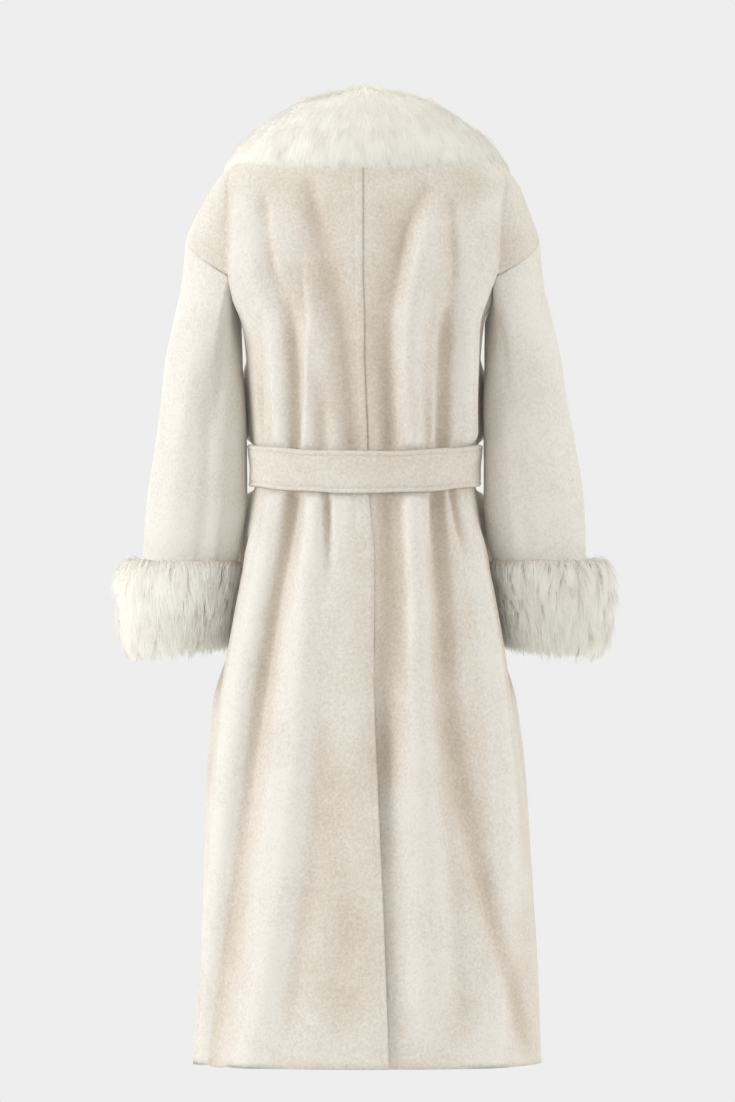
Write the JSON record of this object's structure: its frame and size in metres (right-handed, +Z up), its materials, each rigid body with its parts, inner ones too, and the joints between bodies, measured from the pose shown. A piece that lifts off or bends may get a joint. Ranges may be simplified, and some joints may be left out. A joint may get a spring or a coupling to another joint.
{
  "type": "belted coat",
  "caption": "Long ivory wool wrap coat with a fur shawl collar and fur cuffs, tie belt and back vent, filled out and hollow.",
  "frame": {"origin": "middle of the neck opening, level with the nape, where the wearer's neck passes through", "axes": "+Z up along the coat, the front faces -Y, the wearer's left is +X"},
  "size_m": [0.6462, 0.336, 1.2393],
  "materials": {
    "wool": "brushed ivory wool with a short nap and a soft sheen",
    "fur": "long soft ivory fur pile"
  },
  "bodies": {
    "root": {"back_left": "wool", "back_right": "wool", "front_left": "wool", "front_right": "wool", "sleeve_left": "wool", "sleeve_right": "wool", "fur_collar": "fur", "fur_cuff_left": "fur", "fur_cuff_right": "fur", "belt_band": "wool", "belt_knot": "wool", "belt_tail_left": "wool", "belt_tail_right": "wool"}
  },
  "joints": []
}
